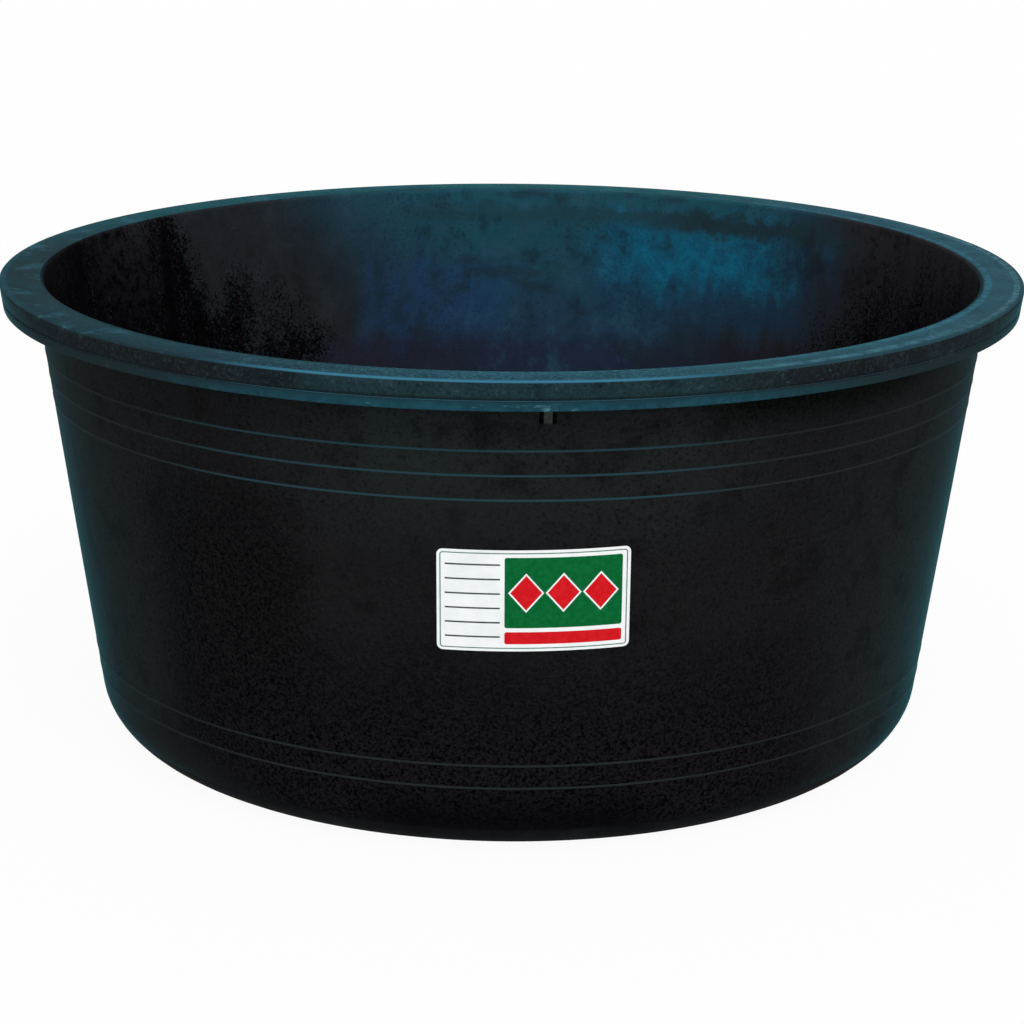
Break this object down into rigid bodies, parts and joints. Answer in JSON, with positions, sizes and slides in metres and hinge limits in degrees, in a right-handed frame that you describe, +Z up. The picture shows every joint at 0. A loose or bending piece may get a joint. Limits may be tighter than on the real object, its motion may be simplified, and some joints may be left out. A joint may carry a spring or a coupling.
{
  "type": "round tub",
  "caption": "Wide round black polyethylene tub with a heavy flat rim, a flared beaded wall, a small lug under the rim and a stuck-on printed label.",
  "frame": {"origin": "under the middle of the foot, on the ground", "axes": "+Z up along the tub's axis of turning; -Y towards the front, where the label is; +X to the right seen from the front"},
  "size_m": [0.6101, 0.61, 0.281],
  "materials": {
    "tub_plastic": "moulded black polyethylene, satin, with a faint blue-green bloom",
    "label_adhesive": "thin acrylic adhesive coat",
    "label_film": "white coated label stock, semi-gloss",
    "ink_keyline": "printed ink, semi-gloss",
    "ink_green": "printed ink, semi-gloss",
    "ink_red": "printed ink, semi-gloss",
    "ink_dark": "printed ink, semi-gloss"
  },
  "bodies": {
    "root": {"tub_shell": "tub_plastic", "label_adhesive": "label_adhesive", "label_film": "label_film", "label_keyline": "ink_keyline", "label_green_print": "ink_green", "label_red_print": "ink_red", "label_ruling": "ink_dark"}
  },
  "joints": []
}
